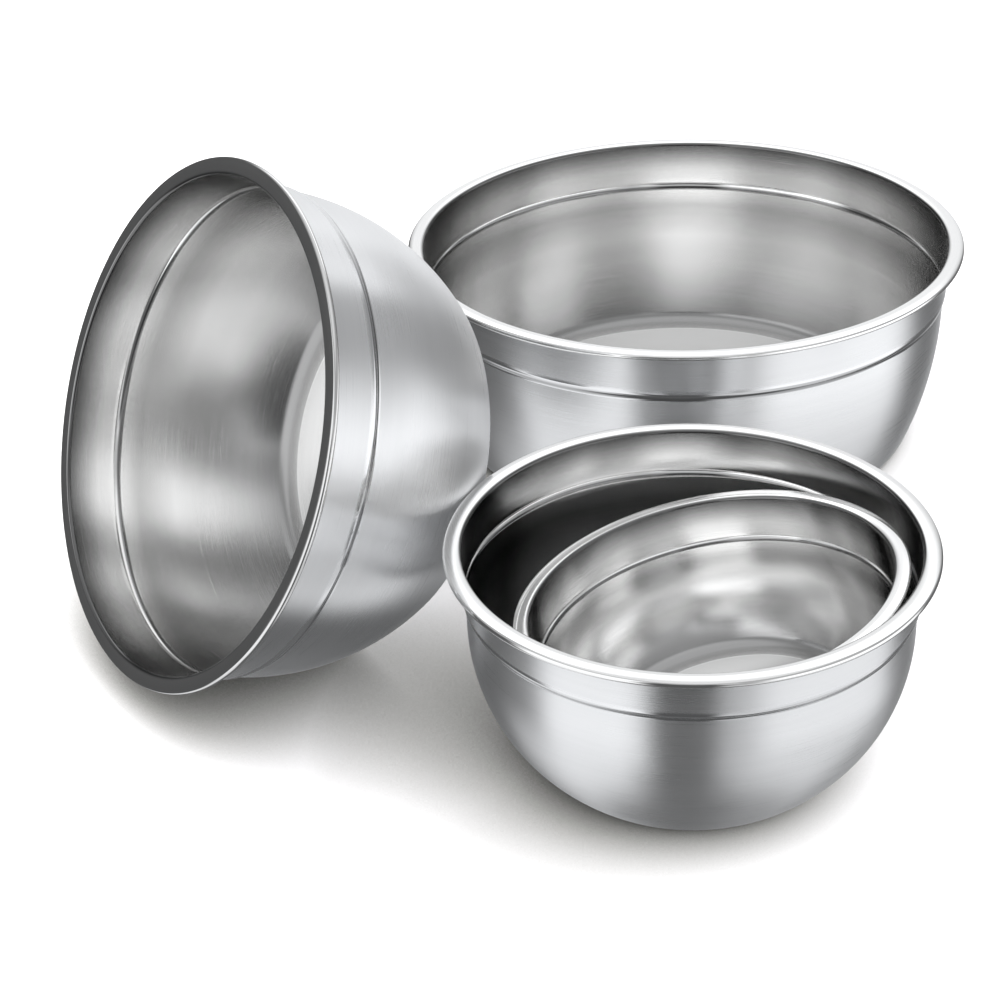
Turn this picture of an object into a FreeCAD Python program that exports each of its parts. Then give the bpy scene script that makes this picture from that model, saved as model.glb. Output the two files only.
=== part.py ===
"""Set of four stainless-steel mixing bowls, standing as a group.

Each bowl is one sheet of steel: a flat base with a pressed centre, a round
side, a small outward ledge, an upright band and a lip rolled over outwards.
Millimetres, +Z up.  The origin is the centre of the front bowl's foot circle
on the floor; +X is to the right and +Y to the back of the group.
"""
import math
import os
from collections import namedtuple

import FreeCAD
import Part

# ---- sheet and rim, the same for every bowl ---------------------------------
SHEET = 0.8                # sheet thickness
LIP_BEND_RADIUS = 1.2      # outside radius where the band turns out to the lip
LIP_SLOPE = 15.0           # lip rises then falls by this angle: a shallow dome
CURL_RADIUS = 0.8          # inside radius of the rolled edge
CURL_TURN = 215.0          # how far round the edge is rolled

# ---- pressed details, the same for every bowl -------------------------------
LEDGE_OFFSET = 1.5         # how far the ledge steps the wall outwards
BASE_RISE = 1.2            # the base centre stands this far above the foot
BASE_STEP_ANGLE = 50.0     # slope of the pressed step round the base centre

# ---- one bowl's driving sizes -----------------------------------------------
# rim_radius   outside of the rolled lip
# height       foot to the top of the lip
# band_radius  outside of the upright band
# band_depth   top of the lip to the top of the ledge
# ledge_depth  height taken by the ledge
# upright      straight wall under the ledge, before it starts to curve in
# corner       radius where the side turns into the foot
# foot_radius  outer edge of the flat foot
# step_radius  middle of the pressed step round the base centre
Bowl = namedtuple(
    "Bowl",
    "rim_radius height band_radius band_depth ledge_depth "
    "upright corner foot_radius step_radius",
)

LARGE = Bowl(160.0, 119.2, 151.6, 26.6, 5.3, 4.3, 11.0, 125.6, 120.6)
MEDIUM = Bowl(128.0, 117.0, 120.1, 26.5, 4.5, 5.0, 13.0, 83.0, 78.0)
FRONT = Bowl(110.0, 111.7, 102.3, 21.7, 4.0, 13.0, 14.0, 60.0, 55.5)
SMALL = Bowl(90.0, 75.3, 83.1, 21.3, 3.3, 9.0, 11.0, 60.0, 56.2)

# ---- where each bowl stands: foot centre, then the way its mouth faces ------
# facing is (compass angle from +X towards +Y, angle above the horizontal)
FRONT_PLACE = ((0.0, 0.0, 0.0), (0.0, 90.0))
LARGE_PLACE = ((29.9, 325.7, 0.0), (0.0, 90.0))
MEDIUM_PLACE = ((-141.5, 143.0, 85.5), (-148.6, 24.7))
SMALL_PLACE = ((21.49, -7.74, 13.95), (162.5, 78.96))

FULL_TURN = 360.0
UP = FreeCAD.Vector(0, 0, 1)


class SheetPath:
    """The outside line of a bent sheet, drawn as straights and bends.

    The line starts at a point with a heading in degrees (0 is outwards,
    90 is up) and keeps a second line one sheet thickness to its left.
    """

    def __init__(self, radius, height, heading, thickness):
        self.here = FreeCAD.Vector(radius, 0, height)
        self.heading = heading
        self.thickness = thickness
        self.outside = []
        self.inside = []

    def left(self, heading=None):
        angle = math.radians(self.heading if heading is None else heading)
        return FreeCAD.Vector(-math.sin(angle), 0, math.cos(angle))

    def straight(self, length):
        angle = math.radians(self.heading)
        step = FreeCAD.Vector(math.cos(angle), 0, math.sin(angle)) * length
        shift = self.left() * self.thickness
        there = self.here + step
        self.outside.append(Part.LineSegment(self.here, there).toShape())
        self.inside.append(Part.LineSegment(self.here + shift, there + shift).toShape())
        self.here = there

    def bend(self, radius, turn):
        """Turn left by a positive angle, right by a negative one."""
        side = math.copysign(1.0, turn)
        centre = self.here + self.left() * side * radius
        headings = [self.heading, self.heading + turn / 2, self.heading + turn]
        for edges, size in (
            (self.outside, radius),
            (self.inside, radius - side * self.thickness),
        ):
            points = [centre - self.left(h) * side * size for h in headings]
            edges.append(Part.Arc(*points).toShape())
        self.heading += turn
        self.here = centre - self.left() * side * radius

    def face(self):
        """Close both ends and fill the strip between the two lines."""
        caps = []
        for end in (0, -1):
            a = self.outside[end].Vertexes[end].Point
            b = self.inside[end].Vertexes[end].Point
            caps.append(Part.LineSegment(a, b).toShape())
        edges = Part.sortEdges(self.outside + self.inside + caps)[0]
        return Part.Face(Part.Wire(edges))


def sin(degrees):
    return math.sin(math.radians(degrees))


def cos(degrees):
    return math.cos(math.radians(degrees))


def press_base(path, bowl):
    """Raised centre, the pressed step round it, and the flat foot."""
    bend_radius = BASE_RISE / (2 * (1 - cos(BASE_STEP_ANGLE)))
    half_width = bend_radius * sin(BASE_STEP_ANGLE)
    path.straight(bowl.step_radius - half_width)
    path.bend(bend_radius, -BASE_STEP_ANGLE)
    path.bend(bend_radius, BASE_STEP_ANGLE)
    path.straight(bowl.foot_radius - path.here.x)


def raise_side(path, bowl):
    """Corner, round side and the short upright wall below the ledge."""
    wall_radius = bowl.band_radius - LEDGE_OFFSET
    wall_start = bowl.height - bowl.band_depth - bowl.ledge_depth - bowl.upright
    across = wall_radius - bowl.foot_radius
    climb = wall_start - bowl.corner
    side_radius = (across ** 2 + climb ** 2 - bowl.corner ** 2) / (2 * (across - bowl.corner))
    side_turn = math.degrees(math.asin(climb / (side_radius - bowl.corner)))
    path.bend(bowl.corner, 90.0 - side_turn)
    path.bend(side_radius, side_turn)
    path.straight(bowl.upright)


def step_ledge(path, bowl):
    """Small step outwards that carries the upright band."""
    angle = 2 * math.degrees(math.atan(LEDGE_OFFSET / bowl.ledge_depth))
    bend_radius = bowl.ledge_depth / (2 * sin(angle))
    path.bend(bend_radius, -angle)
    path.bend(bend_radius, angle)


def roll_lip(path, bowl):
    """Upright band, domed lip and the edge rolled under it."""
    bend_turn = 90.0 - LIP_SLOPE
    bend_out = LIP_BEND_RADIUS * (1 - cos(bend_turn))
    bend_up = LIP_BEND_RADIUS * sin(bend_turn)
    curl_out = CURL_RADIUS + SHEET - CURL_RADIUS * sin(LIP_SLOPE)
    dome_out = bowl.rim_radius - bowl.band_radius - bend_out - curl_out
    dome_radius = dome_out / (2 * sin(LIP_SLOPE))
    dome_up = dome_radius * (1 - cos(LIP_SLOPE))
    path.straight(bowl.height - SHEET - dome_up - bend_up - path.here.z)
    path.bend(LIP_BEND_RADIUS, -bend_turn)
    path.bend(dome_radius, -2 * LIP_SLOPE)
    path.bend(CURL_RADIUS, -CURL_TURN)


def make_bowl(bowl):
    """One drawn and spun bowl, mouth up, foot on z = 0."""
    path = SheetPath(0.0, BASE_RISE, 0.0, SHEET)
    press_base(path, bowl)
    raise_side(path, bowl)
    step_ledge(path, bowl)
    roll_lip(path, bowl)
    origin = FreeCAD.Vector(0, 0, 0)
    return path.face().revolve(origin, UP, FULL_TURN)


def stand(shape, place):
    """Put a mouth-up bowl where it stands, facing the way it faces."""
    foot, (compass, rise) = place
    facing = FreeCAD.Vector(cos(rise) * cos(compass), cos(rise) * sin(compass), sin(rise))
    placed = shape.copy()
    placed.Placement = FreeCAD.Placement(FreeCAD.Vector(*foot), FreeCAD.Rotation(UP, facing))
    return placed


def main():
    os.makedirs("parts", exist_ok=True)
    nodes = {
        "front_bowl": (FRONT, FRONT_PLACE),
        "nested_bowl": (SMALL, SMALL_PLACE),
        "large_bowl": (LARGE, LARGE_PLACE),
        "tipped_bowl": (MEDIUM, MEDIUM_PLACE),
    }
    for name, (bowl, place) in nodes.items():
        stand(make_bowl(bowl), place).exportStep(f"parts/{name}.step")


main()
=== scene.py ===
"""Satin steel bowls on a white studio floor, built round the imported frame."""
import math
from collections import namedtuple

import bpy
import numpy as np
from mathutils import Matrix, Vector


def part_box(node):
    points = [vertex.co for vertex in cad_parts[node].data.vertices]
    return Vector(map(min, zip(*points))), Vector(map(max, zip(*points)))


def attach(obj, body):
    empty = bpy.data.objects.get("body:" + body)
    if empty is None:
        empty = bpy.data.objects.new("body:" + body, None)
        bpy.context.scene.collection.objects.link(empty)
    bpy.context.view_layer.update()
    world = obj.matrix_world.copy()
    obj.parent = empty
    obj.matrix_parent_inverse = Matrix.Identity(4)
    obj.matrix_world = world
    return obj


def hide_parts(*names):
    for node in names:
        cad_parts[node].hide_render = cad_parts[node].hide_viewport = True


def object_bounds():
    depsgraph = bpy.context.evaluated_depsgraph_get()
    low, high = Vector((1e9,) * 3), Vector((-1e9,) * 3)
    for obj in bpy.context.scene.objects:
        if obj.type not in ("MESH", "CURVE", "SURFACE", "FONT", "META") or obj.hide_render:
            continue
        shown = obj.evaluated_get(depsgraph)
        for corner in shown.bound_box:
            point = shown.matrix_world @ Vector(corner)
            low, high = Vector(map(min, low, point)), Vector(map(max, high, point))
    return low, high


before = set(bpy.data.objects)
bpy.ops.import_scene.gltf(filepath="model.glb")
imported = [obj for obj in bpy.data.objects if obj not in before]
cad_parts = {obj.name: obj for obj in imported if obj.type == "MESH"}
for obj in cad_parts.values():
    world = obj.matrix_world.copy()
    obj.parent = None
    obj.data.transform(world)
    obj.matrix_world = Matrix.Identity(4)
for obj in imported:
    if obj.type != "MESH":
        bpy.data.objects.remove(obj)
cad_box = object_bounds()

MM = 0.001                   # the sheet below is drawn in millimetres
AROUND = 288                 # facets round each bowl

# ---- sheet and pressed details, as in the CAD ---------------------------------
SHEET = 0.8
LIP_BEND_RADIUS = 1.2
LIP_SLOPE = 15.0
CURL_RADIUS = 0.8
CURL_TURN = 215.0
LEDGE_OFFSET = 1.5
BASE_RISE = 1.2
BASE_STEP_ANGLE = 50.0

Bowl = namedtuple(
    "Bowl",
    "rim_radius height band_radius band_depth ledge_depth upright corner foot_radius step_radius",
)
BOWLS = {
    "large_bowl": Bowl(160.0, 119.2, 151.6, 26.6, 5.3, 4.3, 11.0, 125.6, 120.6),
    "tipped_bowl": Bowl(128.0, 117.0, 120.1, 26.5, 4.5, 5.0, 13.0, 83.0, 78.0),
    "front_bowl": Bowl(110.0, 111.7, 102.3, 21.7, 4.0, 13.0, 14.0, 60.0, 55.5),
    "nested_bowl": Bowl(90.0, 75.3, 83.1, 21.3, 3.3, 9.0, 11.0, 60.0, 56.2),
}

# ---- finish of the steel, with the light and shade painted on it -----------------
OUTSIDE_TINT = (0.810, 0.815, 0.823, 1)
INSIDE_TINT = (0.759, 0.757, 0.752, 1)
STREAK_TINT = (0.40, 0.41, 0.42, 1)
INSIDE_PAINTED_LIFT = 1.2            # painted light: the inside is drawn this much lighter
PAINTED_EDGE_ON_SPAN = (0.22, 0.80)       # painted shade: the inside darkens over this, 0 being face-on and 1 edge-on
# painted shade: how dark the inside is drawn where it is seen edge-on
PAINTED_EDGE_ON_SHADE = 0.16
OUTSIDE_ROUGHNESS = 0.30
POLISHED_ROUGHNESS = (0.07, 0.12)
OUTSIDE_STRETCH = 0.85       # how far highlights are drawn out across the grooves
INSIDE_STRETCH = 0.4
POLISHED_STRETCH = 0.2
# how fine the noise runs: round the turn in x and y, then per metre along the sheet
GROOVES = (1.6, 1.6, 5200.0)
BANDS = (0.5, 0.5, 420.0)
CLOUDS = 22.0                # cloudy patches per metre
GROOVE_BUMP = 0.10
GROOVE_HEIGHT = 0.0002       # metres
CLOUD_BUMP = 0.05
CLOUD_HEIGHT = 0.002         # metres
PATTERN_SHIFT = 3.7          # moves each bowl's pattern away from the last one's

# how much less rough the inside is, and how much lighter or darker the lip's inside face is painted, bowl
# by bowl
PolishingAndLipShading = namedtuple("PolishingAndLipShading", "smoother lip_tone")
POLISHING_AND_LIP_SHADING = {
    "large_bowl": PolishingAndLipShading(0.10, 1.1),
    "tipped_bowl": PolishingAndLipShading(0.08, 0.85),
    "front_bowl": PolishingAndLipShading(0.16, 1.0),
    "nested_bowl": PolishingAndLipShading(0.20, 1.1),
}
# how far each zone of the sheet is polished
POLISH = {"base": 0.0, "step": 0.85, "wall": 0.0, "ledge": 1.0, "band": 0.0, "lip": 1.0}
# painted light and shade: how light the inside is drawn along each zone, from the bowl's middle outwards,
# in rings such as the darkening up the band under the lip and the dark and bright lines at the ledge
INSIDE_PAINTED_SHADING = {
    "base": ((0.0, 1.09), (0.55, 1.05), (1.0, 0.80)),
    "step": ((0.0, 0.95), (0.45, 1.0), (0.6, 0.45), (1.0, 0.6)),
    "wall": (
        (0.0, 0.48), (0.05, 0.40), (0.14, 0.46), (0.28, 0.70), (0.48, 0.98),
        (0.68, 1.06), (0.84, 0.78), (0.90, 0.72), (0.96, 0.95), (1.0, 1.05),
    ),
    "ledge": ((0.0, 1.0), (0.2, 0.30), (0.45, 0.35), (0.55, 1.09), (1.0, 1.09)),
    "band": ((0.0, 1.09), (0.30, 1.0), (0.55, 0.70), (0.80, 0.40), (1.0, 0.20)),
    "lip": ((0.0, 0.18), (0.11, 0.22), (0.17, 0.98), (1.0, 0.98)),
}
# the outside is even but for painted shade: dark lines under the ledge and the lip
OUTSIDE_PAINTED_SHADE = {
    "ledge": ((0.0, 1.0), (0.25, 0.50), (0.55, 0.65), (0.75, 1.0), (1.0, 1.0)),
    "band": ((0.0, 1.0), (0.90, 1.0), (1.0, 0.40)),
    "lip": ((0.0, 0.25), (0.15, 0.45), (0.3, 1.0), (1.0, 1.0)),
}
# zones whose inside gets painted shade edge-on; on the wall it comes in over its first part
EDGE_ON_SHADED_ZONES = ("wall", "ledge", "band")
WALL_FADE = 0.6

# ---- studio ----------------------------------------------------------------------
ROOM = 0.45                  # brightness between the cards
AMBIENT = 2.1                # light that falls on the floor
CARD_TINT = (0.985, 0.995, 1.01, 1)
WHITE = (1, 1, 1, 1)
FLOOR_GREY = 0.93
# painted contact shadow on the floor, darker where less sky is open over it
PAINTED_SHADOW_GREY = 0.07          # painted shadow: floor colour where the bowls shade it most
PAINTED_SHADOW_OPEN = (0.15, 0.75)  # share of open sky from darkest to lightest painted shadow
PAINTED_SHADOW_WARMTH = 0.92        # blue left in the darkest painted shadow
PAINTED_SHADOW_REACH = 0.095        # metres over which the painted shadow of the bowls reaches
# the painted shadow looks for open sky leaning this way
PAINTED_SHADOW_LEAN = (0.42, -0.16, 0.89)
FLOOR_REACH = 40.0           # in diagonals of the CAD box
FLOOR_CORNERS = 24
LENS = 72.4                  # millimetres, like the sensor's width
SENSOR = 36.0
CAMERA_DISTANCE = 0.900
CAMERA_PITCH = math.radians(30.2)
CAMERA_ROLL = math.radians(-2.63)
AIM_FROM_FRONT_BOWL = Vector((-0.0833, 0.0187, 0.06905))

# Light and dark cards that the steel mirrors, laid one over another.  Azimuth is
# counted from the camera, positive to the right; heights are above the horizon.
ALL_ROUND = 180
Card = namedtuple("Card", "azimuth half_width height half_height soft brightness")
CARDS = {
    "ceiling": Card(0, ALL_ROUND, 80, 24, 15, 0.85),
    "table": Card(0, ALL_ROUND, -88, 46, 12, 0.15),
    "back wall": Card(-175, 32, 8, 40, 16, 0.90),
    "high back light": Card(165, 44, 45, 14, 14, 1.45),
    "left soft box": Card(-57, 31, -7, 47, 16, 1.15),
    "right soft box": Card(67, 40, -23, 40, 18, 1.30),
    "high front light": Card(-40, 52, 25, 10, 12, 1.20),
    "low left bounce": Card(-90, 42, -55, 15, 12, 0.95),
    "low right bounce": Card(55, 50, -46, 12, 12, 0.70),
    "rear left flag": Card(-125, 42, -7, 36, 14, 0.10),
    "rear right flag": Card(125, 18, -17, 32, 12, 0.15),
    "high right flag": Card(103, 22, 28, 8, 12, 0.30),
    "camera flag": Card(-8, 17, -16, 49, 12, 0.10),
}


def sin(degrees):
    return math.sin(math.radians(degrees))


def cos(degrees):
    return math.cos(math.radians(degrees))


# ---- profile of the sheet --------------------------------------------------------
class SheetPath:
    """Outside line of a bent sheet; its inside line runs one thickness to the left."""

    def __init__(self, radius, height, zone):
        self.here = np.array([radius, height])
        self.heading = 0.0
        self.zone = zone
        self.outside = []
        self.inside = []
        self.mark()

    def left(self):
        return np.array([-sin(self.heading), cos(self.heading)])

    def mark(self):
        left = self.left()
        self.outside.append((self.here, -left, self.zone))
        self.inside.append((self.here + left * SHEET, left, self.zone))

    def straight(self, length, parts):
        step = np.array([cos(self.heading), sin(self.heading)]) * length / parts
        for _ in range(parts):
            self.here = self.here + step
            self.mark()

    def bend(self, radius, turn, parts):
        """Turn left by a positive angle, right by a negative one."""
        side = math.copysign(1.0, turn)
        centre = self.here + self.left() * side * radius
        for _ in range(parts):
            self.heading += turn / parts
            self.here = centre - self.left() * side * radius
            self.mark()

    def round_edge(self, parts):
        """Half-round edge where the sheet ends."""
        left = self.left()
        centre = self.here + left * SHEET / 2
        start = math.atan2(-left[1], -left[0])
        points = []
        for k in range(1, parts):
            angle = start + math.pi * k / parts
            normal = np.array([math.cos(angle), math.sin(angle)])
            points.append((centre + normal * SHEET / 2, normal, self.zone))
        return points


def press_base(path, bowl):
    """Raised centre, the pressed step round it, and the flat foot."""
    bend_radius = BASE_RISE / (2 * (1 - cos(BASE_STEP_ANGLE)))
    path.straight(bowl.step_radius - bend_radius * sin(BASE_STEP_ANGLE), parts=12)
    path.zone = "step"
    path.bend(bend_radius, -BASE_STEP_ANGLE, parts=6)
    path.bend(bend_radius, BASE_STEP_ANGLE, parts=6)
    path.zone = "wall"
    path.straight(bowl.foot_radius - path.here[0], parts=2)


def raise_side(path, bowl):
    """Corner, round side and the short upright wall below the ledge."""
    across = bowl.band_radius - LEDGE_OFFSET - bowl.foot_radius
    climb = bowl.height - bowl.band_depth - bowl.ledge_depth - bowl.upright - bowl.corner
    side_radius = (across ** 2 + climb ** 2 - bowl.corner ** 2) / (2 * (across - bowl.corner))
    side_turn = math.degrees(math.asin(climb / (side_radius - bowl.corner)))
    path.bend(bowl.corner, 90 - side_turn, parts=12)
    path.bend(side_radius, side_turn, parts=40)
    path.straight(bowl.upright, parts=4)


def step_ledge(path, bowl):
    """Small step outwards that carries the upright band."""
    path.zone = "ledge"
    angle = 2 * math.degrees(math.atan(LEDGE_OFFSET / bowl.ledge_depth))
    bend_radius = bowl.ledge_depth / (2 * sin(angle))
    path.bend(bend_radius, -angle, parts=8)
    path.bend(bend_radius, angle, parts=8)


def roll_lip(path, bowl):
    """Upright band, domed lip and the edge rolled under it."""
    path.zone = "band"
    bend_turn = 90 - LIP_SLOPE
    bend_out = LIP_BEND_RADIUS * (1 - cos(bend_turn))
    bend_up = LIP_BEND_RADIUS * sin(bend_turn)
    curl_out = CURL_RADIUS + SHEET - CURL_RADIUS * sin(LIP_SLOPE)
    dome_radius = (bowl.rim_radius - bowl.band_radius - bend_out - curl_out) / (2 * sin(LIP_SLOPE))
    dome_up = dome_radius * (1 - cos(LIP_SLOPE))
    path.straight(bowl.height - SHEET - dome_up - bend_up - path.here[1], parts=12)
    path.zone = "lip"
    path.bend(LIP_BEND_RADIUS, -bend_turn, parts=10)
    path.bend(dome_radius, -2 * LIP_SLOPE, parts=10)
    path.bend(CURL_RADIUS, -CURL_TURN, parts=24)


def bowl_profile(bowl):
    """Run of (point, normal, zone) from the outside pole round the edge to the inside pole."""
    path = SheetPath(0.0, BASE_RISE, "base")
    press_base(path, bowl)
    raise_side(path, bowl)
    step_ledge(path, bowl)
    roll_lip(path, bowl)
    return path.outside + path.round_edge(parts=6) + path.inside[::-1]


# ---- painted light and shade along the profile -----------------------------------
def along_zone(zones, length, inner, zone, inside):
    """A zone's points on one face of the sheet, and how far out along it each lies."""
    run = np.flatnonzero((zones == zone) & (inner == inside))
    start, end = length[run[0]], length[run[-1]]
    near, far = (end, start) if inside else (start, end)
    return run, (length[run] - near) / (far - near)


def painted_shading_along(zones, length, inner, lip_tone):
    """Painted light and shade at every point, and how much of the painted edge-on shade each point takes.
    """
    tone = np.ones(len(zones))
    side = np.zeros(len(zones))
    for inside, table in ((True, INSIDE_PAINTED_SHADING), (False, OUTSIDE_PAINTED_SHADE)):
        for zone, stops in table.items():
            run, out = along_zone(zones, length, inner, zone, inside)
            tone[run] = np.interp(out, *zip(*stops))
            # the inside's wall, ledge and band take painted shade where seen edge-on
            if inside and zone in EDGE_ON_SHADED_ZONES:
                side[run] = np.minimum(out / WALL_FADE, 1.0) if zone == "wall" else 1.0
            # painted light or shade on the lip's inside face, bowl by bowl
            if inside and zone == "lip":
                tone[run] *= lip_tone
    return tone, side


# ---- where the CAD put each bowl -------------------------------------------------
def stance(node):
    """Foot centre and mouth direction of a CAD bowl, from its surface's second moments.

    Two of the moments are alike in a round bowl; its axis belongs to the odd one.
    """
    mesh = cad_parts[node].data
    mesh.calc_loop_triangles()
    points = np.array([v.co for v in mesh.vertices])
    corners = points[np.array([t.vertices for t in mesh.loop_triangles])]
    edges = corners[:, 1:] - corners[:, :1]
    area = np.linalg.norm(np.cross(edges[:, 0], edges[:, 1]), axis=1) / 2
    centre = (corners.sum(1) * area[:, None]).sum(0) / (3 * area.sum())
    corners = corners - centre
    total = corners.sum(1)
    moment = np.einsum("n,nvi,nvj->ij", area, corners, corners)
    moment += np.einsum("n,ni,nj->ij", area, total, total)
    values, vectors = np.linalg.eigh(moment)
    odd = 0 if values[1] - values[0] > values[2] - values[1] else 2
    axis = vectors[:, odd]
    along = (points - centre) @ axis
    radial = np.linalg.norm(points - centre - np.outer(along, axis), axis=1)
    if along[radial.argmax()] < 0:
        axis, along = -axis, -along
    return Vector(centre + axis * along.min()), Vector(axis)


# ---- mesh of a bowl --------------------------------------------------------------
def spin(out, up):
    """First pole, every ring and last pole of a profile spun round the axis."""
    angle = np.arange(AROUND) * 2 * math.pi / AROUND
    flat_x = np.outer(out[1:-1], np.cos(angle))
    flat_y = np.outer(out[1:-1], np.sin(angle))
    rings = np.stack([flat_x, flat_y, np.repeat(up[1:-1, None], AROUND, 1)], axis=2)
    return np.vstack([(0, 0, up[0]), rings.reshape(-1, 3), (0, 0, up[-1])])


def spread(values):
    """One value per vertex from one value per profile point."""
    return np.concatenate([values[:1], np.repeat(values[1:-1], AROUND), values[-1:]])


def bowl_faces(length):
    """Quads between the rings, triangles at the poles, and where each corner lies in
    the map, with the turn across and the length along the sheet up."""
    last = len(length) - 1

    def vertex(i, k):
        if i == 0:
            return 0
        if i == last:
            return 1 + (last - 1) * AROUND
        return 1 + (i - 1) * AROUND + k % AROUND

    faces, uvs = [], []
    for i in range(last):
        for k in range(AROUND):
            corners = [(i, k), (i, k + 1), (i + 1, k + 1), (i + 1, k)]
            if i == 0:
                corners = [(0, k + 0.5), (1, k + 1), (1, k)]
            if i == last - 1:
                corners = [(i, k), (i, k + 1), (last, k + 0.5)]
            faces.append([vertex(ring, turn) for ring, turn in corners])
            uvs += [(turn / AROUND, length[ring]) for ring, turn in corners]
    return faces, np.array(uvs)


def write_values(mesh, values_by_name):
    """Store named values, one per vertex, where the steel can read them."""
    for name, values in values_by_name.items():
        layer = mesh.attributes.new(name, "FLOAT", "POINT")
        layer.data.foreach_set("value", spread(values).astype(np.float32))


def write_lathe(mesh, length):
    """Store the turn as x and y and the length along the sheet as z."""
    lathe = mesh.attributes.new("lathe", "FLOAT_VECTOR", "POINT")
    turned = spin(np.ones(len(length)), length)
    lathe.data.foreach_set("vector", turned.astype(np.float32).ravel())


def stand(mesh, node, normals):
    """Put a mouth-up bowl where the CAD bowl stands, with its exact normals."""
    foot, axis = stance(node)
    turn = Vector((0, 0, 1)).rotation_difference(axis).to_matrix()
    mesh.transform(Matrix.Translation(foot) @ turn.to_4x4())
    mesh.polygons.foreach_set("use_smooth", [True] * len(mesh.polygons))
    turned = spin(normals[:, 0], normals[:, 1]) @ np.array(turn).T
    mesh.normals_split_custom_set_from_vertices(turned.tolist())


def build_bowl(node):
    """Whole sheet of one bowl, with its finish and its painted light and shade written on its vertices.
    """
    points, normals, zones = zip(*bowl_profile(BOWLS[node]))
    points = np.array(points) * MM
    zones = np.array(zones)
    inner = np.arange(len(zones)) >= len(zones) // 2
    steps = np.linalg.norm(np.diff(points, axis=0), axis=1)
    length = np.concatenate([[0], np.cumsum(steps)])
    # painted light and shade along the sheet, and where the inside takes painted shade edge-on
    tone, side = painted_shading_along(zones, length, inner, POLISHING_AND_LIP_SHADING[node].lip_tone)
    polish = np.array([POLISH[zone] for zone in zones])

    faces, uvs = bowl_faces(length)
    mesh = bpy.data.meshes.new(node + "_sheet")
    mesh.from_pydata(spin(points[:, 0], points[:, 1]).tolist(), [], faces)
    mesh.uv_layers.new(name="turned").data.foreach_set("uv", uvs.astype(np.float32).ravel())
    write_lathe(mesh, length)
    # polish and inner are the finish; the last two values carry painted light and shade to the steel
    write_values(mesh, {"polish": polish, "inner": inner.astype(float), "tone": tone, "side": side})
    stand(mesh, node, np.array(normals))
    sheet = bpy.data.objects.new(node + "_sheet", mesh)
    bpy.context.scene.collection.objects.link(sheet)
    return sheet


# ---- node helpers ----------------------------------------------------------------
class Nodes:
    """Short calls for building a node tree."""

    def __init__(self, tree):
        self.tree = tree
        tree.nodes.clear()

    def add(self, kind, _out=0, _props=None, **inputs):
        """New node; an input is named as in Blender or, by number, as i0, i1 and so on."""
        node = self.tree.nodes.new(kind)
        for key, value in (_props or {}).items():
            setattr(node, key, value)
        for key, value in inputs.items():
            numbered = key[0] == "i" and key[1:].isdigit()
            socket = node.inputs[int(key[1:]) if numbered else key.replace("_", " ")]
            if isinstance(value, bpy.types.NodeSocket):
                self.tree.links.new(value, socket)
            else:
                socket.default_value = value
        return node if _out is None else node.outputs[_out]

    def math(self, operation, a, b=0.0, c=0.0):
        return self.add("ShaderNodeMath", _props={"operation": operation}, i0=a, i1=b, i2=c)

    def stretch(self, vector, xyz):
        return self.add("ShaderNodeVectorMath", _props={"operation": "MULTIPLY"}, i0=vector, i1=xyz)

    def noise(self, vector, scale=1.0, detail=3.0, rough=0.5):
        return self.add("ShaderNodeTexNoise", Vector=vector, Scale=scale, Detail=detail, Roughness=rough)

    def remap(self, value, a, b, c, d, kind="LINEAR"):
        props = {"interpolation_type": kind}
        return self.add("ShaderNodeMapRange", _props=props, i0=value, i1=a, i2=b, i3=c, i4=d)

    def mix(self, share, a, b):
        return self.add("ShaderNodeMix", _props={"data_type": "FLOAT"}, i0=share, i2=a, i3=b)

    def mix_colour(self, share, a, b):
        return self.add("ShaderNodeMix", 2, {"data_type": "RGBA"}, i0=share, i6=a, i7=b)

    def value_of(self, attribute):
        return self.add("ShaderNodeAttribute", 2, {"attribute_name": attribute})


# ---- steel -----------------------------------------------------------------------
def steel_colour(t, grooves, bands):
    """Grey of the steel: turned streaks, painted light and shade along the sheet, painted shade edge-on,
    and the inside painted lighter.
    """
    inner = t.value_of("inner")
    light = t.mix_colour(inner, OUTSIDE_TINT, INSIDE_TINT)
    wide = t.remap(bands, 0.3, 0.7, 0.965, 1.02)
    fine = t.remap(grooves, 0.3, 0.7, 0.97, 1.015)
    streaks = t.math("MINIMUM", t.math("MULTIPLY", wide, fine), 1.0)
    grey = t.mix_colour(streaks, STREAK_TINT, light)
    # painted shade where the inside is seen edge-on
    facing = t.add("ShaderNodeLayerWeight", 1, Blend=0.5)
    painted_edge_shade = t.remap(facing, *PAINTED_EDGE_ON_SPAN, 1.0, PAINTED_EDGE_ON_SHADE)
    seen = t.math("MULTIPLY", t.value_of("tone"), t.mix(t.value_of("side"), 1.0, painted_edge_shade))
    # the painted light and shade reach camera rays only; the inside's painted lift reaches all rays
    tone = t.mix(t.add("ShaderNodeLightPath", "Is Camera Ray"), 1.0, seen)
    tone = t.math("MULTIPLY", tone, t.mix(inner, 1.0, INSIDE_PAINTED_LIFT))
    return t.add("ShaderNodeVectorMath", _props={"operation": "SCALE"}, i0=grey, Scale=tone)


def steel_roughness(t, grooves, cloud, polish, smoother):
    """Satin walls, smoother inside; polished step, ledge and lip."""
    satin = t.remap(grooves, 0.3, 0.7, OUTSIDE_ROUGHNESS - 0.04, OUTSIDE_ROUGHNESS + 0.05)
    satin = t.math("ADD", satin, t.remap(cloud, 0.3, 0.7, -0.02, 0.03))
    satin = t.math("SUBTRACT", satin, t.math("MULTIPLY", t.value_of("inner"), smoother))
    return t.mix(polish, satin, t.remap(cloud, 0.3, 0.7, *POLISHED_ROUGHNESS))


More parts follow.
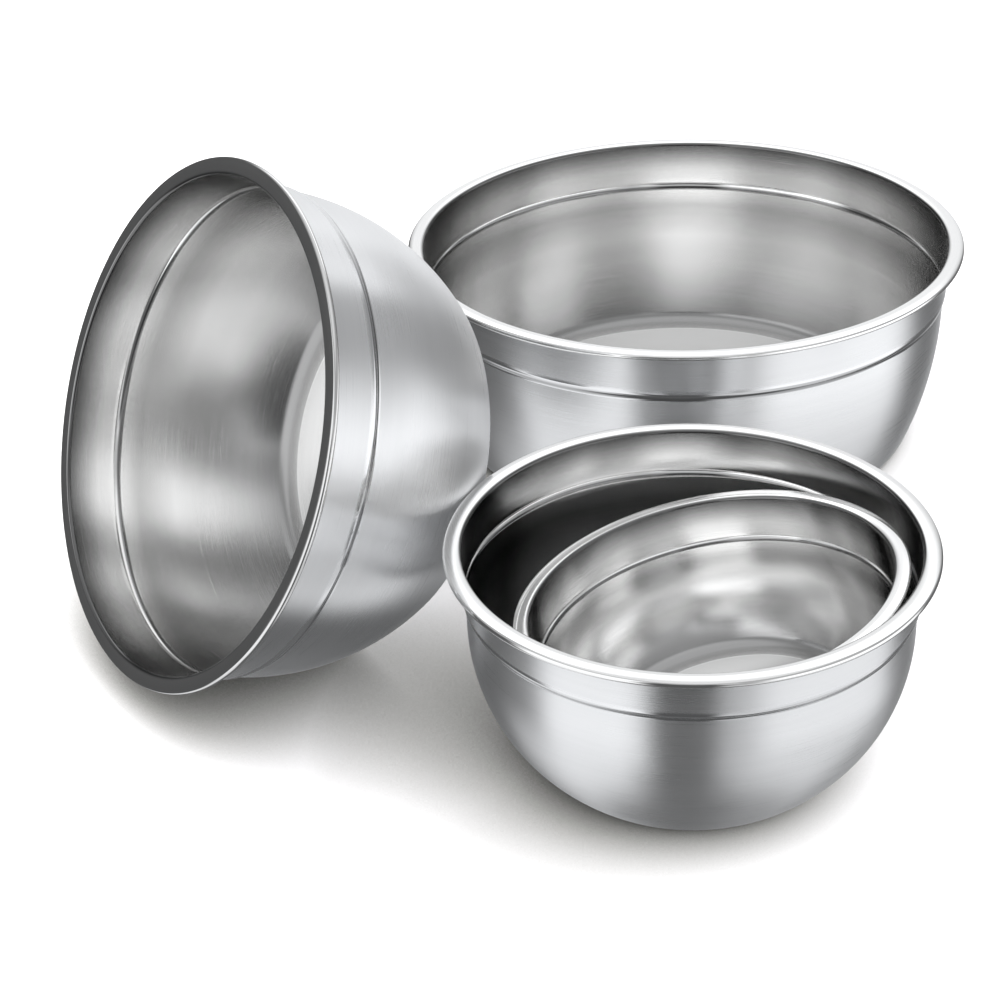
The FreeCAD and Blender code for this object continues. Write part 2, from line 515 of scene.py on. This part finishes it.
def steel(name, smoother, shift):
    """Turned stainless steel; shift moves the pattern so that no two bowls match."""
    material = bpy.data.materials.new(name)
    material.use_nodes = True
    t = Nodes(material.node_tree)
    polish = t.value_of("polish")
    lathe = t.add("ShaderNodeAttribute", 1, {"attribute_name": "lathe"})
    shifted = t.add("ShaderNodeVectorMath", _props={"operation": "ADD"}, i0=lathe, i1=(shift, shift, 0.0))
    grooves = t.noise(t.stretch(shifted, GROOVES), rough=0.7)
    bands = t.noise(t.stretch(shifted, BANDS), rough=0.6)
    cloud = t.noise(t.add("ShaderNodeTexCoord", "Object"), scale=CLOUDS)
    groove_bump = t.math("MULTIPLY", t.math("SUBTRACT", 1.0, polish), GROOVE_BUMP)
    grooved = t.add("ShaderNodeBump", Strength=groove_bump, Distance=GROOVE_HEIGHT, Height=grooves)
    wavy = t.add(
        "ShaderNodeBump",
        Strength=CLOUD_BUMP,
        Distance=CLOUD_HEIGHT,
        Height=cloud,
        Normal=grooved,
    )
    stretch = t.mix(t.value_of("inner"), OUTSIDE_STRETCH, INSIDE_STRETCH)
    tangent = t.add("ShaderNodeTangent", _props={"direction_type": "UV_MAP", "uv_map": "turned"})
    shader = t.add(
        "ShaderNodeBsdfPrincipled",
        Base_Color=steel_colour(t, grooves, bands),
        Metallic=1.0,
        Roughness=steel_roughness(t, grooves, cloud, polish, smoother),
        Anisotropic=t.mix(polish, stretch, POLISHED_STRETCH),
        Anisotropic_Rotation=0.25,
        Tangent=tangent,
        Normal=wavy,
    )
    t.add("ShaderNodeOutputMaterial", None, Surface=shader)
    return material


# ---- studio ----------------------------------------------------------------------
def within(t, off, half, soft):
    """1 less than half away to either side, 0 past a soft edge."""
    away = t.math("ABSOLUTE", off)
    return t.remap(away, half - soft / 2, half + soft / 2, 1.0, 0.0, "SMOOTHSTEP")


def card_mask(t, card, azimuth, height):
    """1 on the card, 0 past its soft edge."""
    mask = within(t, t.math("SUBTRACT", height, card.height), card.half_height, card.soft)
    if card.half_width >= ALL_ROUND:
        return mask
    off = t.math("WRAP", t.math("SUBTRACT", azimuth, card.azimuth), ALL_ROUND, -ALL_ROUND)
    return t.math("MULTIPLY", mask, within(t, off, card.half_width, card.soft))


def studio_world():
    """White to the camera, even light on the floor, and the cards in mirror-like surfaces."""
    world = bpy.data.worlds.new("studio")
    bpy.context.scene.world = world
    world.use_nodes = True
    t = Nodes(world.node_tree)
    way = t.add("ShaderNodeSeparateXYZ", None, Vector=t.add("ShaderNodeTexCoord", "Generated"))
    towards = t.math("MULTIPLY", way.outputs[1], -1.0)
    azimuth = t.math("DEGREES", t.math("ARCTAN2", way.outputs[0], towards))
    height = t.math("DEGREES", t.math("ARCSINE", way.outputs[2]))
    seen = ROOM
    for card in CARDS.values():
        seen = t.mix(card_mask(t, card, azimuth, height), seen, card.brightness)
    cards = t.add("ShaderNodeBackground", Color=CARD_TINT, Strength=seen)
    even = t.add("ShaderNodeBackground", Color=WHITE, Strength=AMBIENT)
    white = t.add("ShaderNodeBackground", Color=WHITE, Strength=1.0)
    path = t.add("ShaderNodeLightPath", None)
    lit = t.add("ShaderNodeMixShader", i0=path.outputs["Is Glossy Ray"], i1=even, i2=cards)
    shown = t.add("ShaderNodeMixShader", i0=path.outputs["Is Camera Ray"], i1=lit, i2=white)
    t.add("ShaderNodeOutputWorld", None, Surface=shown)


def floor_material():
    """White with a soft, slightly warm painted shadow where a bowl stands over it."""
    material = bpy.data.materials.new("floor")
    material.use_nodes = True
    t = Nodes(material.node_tree)
    x, y, z = PAINTED_SHADOW_LEAN
    lean = t.add("ShaderNodeCombineXYZ", X=x, Y=y, Z=z)
    # painted shadow: the floor's colour darkens with the sky that the bowls hide
    open_sky = t.add("ShaderNodeAmbientOcclusion", 1, {"samples": 8}, Distance=PAINTED_SHADOW_REACH, Normal=lean)
    painted_shadow = t.remap(open_sky, *PAINTED_SHADOW_OPEN, PAINTED_SHADOW_GREY, FLOOR_GREY)
    shadow_warmth = t.remap(open_sky, *PAINTED_SHADOW_OPEN, PAINTED_SHADOW_WARMTH, 1.0)
    green = t.math("MULTIPLY", painted_shadow, 0.99)
    blue = t.math("MULTIPLY", painted_shadow, shadow_warmth)
    colour = t.add("ShaderNodeCombineColor", Red=painted_shadow, Green=green, Blue=blue)
    t.add("ShaderNodeOutputMaterial", None, Surface=t.add("ShaderNodeBsdfDiffuse", Color=colour))
    return material


def studio_floor():
    """Wide flat disc at the foot of the bowls, left out of their reflections."""
    low, high = cad_box
    centre = (low + high) / 2
    reach = FLOOR_REACH * (high - low).length
    verts = [(centre.x, centre.y, low.z)]
    faces = []
    for k in range(FLOOR_CORNERS):
        turn = 360 * k / FLOOR_CORNERS
        verts.append((centre.x + reach * cos(turn), centre.y + reach * sin(turn), low.z))
        faces.append((0, 1 + k, 1 + (k + 1) % FLOOR_CORNERS))
    mesh = bpy.data.meshes.new("floor")
    mesh.from_pydata(verts, [], faces)
    mesh.materials.append(floor_material())
    floor = bpy.data.objects.new("floor", mesh)
    bpy.context.scene.collection.objects.link(floor)
    floor.visible_glossy = False


def studio_camera():
    """Looks down from the front through a short telephoto, slightly rolled."""
    low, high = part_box("front_bowl")
    aim = (Vector(low) + Vector(high)) / 2 + AIM_FROM_FRONT_BOWL
    back = Vector((0, -math.cos(CAMERA_PITCH), math.sin(CAMERA_PITCH)))
    data = bpy.data.cameras.new("camera")
    data.sensor_width = SENSOR
    data.lens = LENS
    data.clip_start = 0.01
    data.clip_end = 100.0
    camera = bpy.data.objects.new("camera", data)
    bpy.context.scene.collection.objects.link(camera)
    look = Matrix.Rotation(math.pi / 2 - CAMERA_PITCH, 4, "X") @ Matrix.Rotation(CAMERA_ROLL, 4, "Z")
    camera.matrix_world = Matrix.Translation(aim + back * CAMERA_DISTANCE) @ look
    bpy.context.scene.camera = camera


# ---- the group -------------------------------------------------------------------
for place, node in enumerate(BOWLS):
    sheet = build_bowl(node)
    shift = PATTERN_SHIFT * place
    sheet.data.materials.append(steel(node + "_steel", POLISHING_AND_LIP_SHADING[node].smoother, shift))
    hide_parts(node)
    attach(sheet, node)

studio_world()
studio_floor()
studio_camera()
bpy.context.scene.view_settings.view_transform = "Standard"
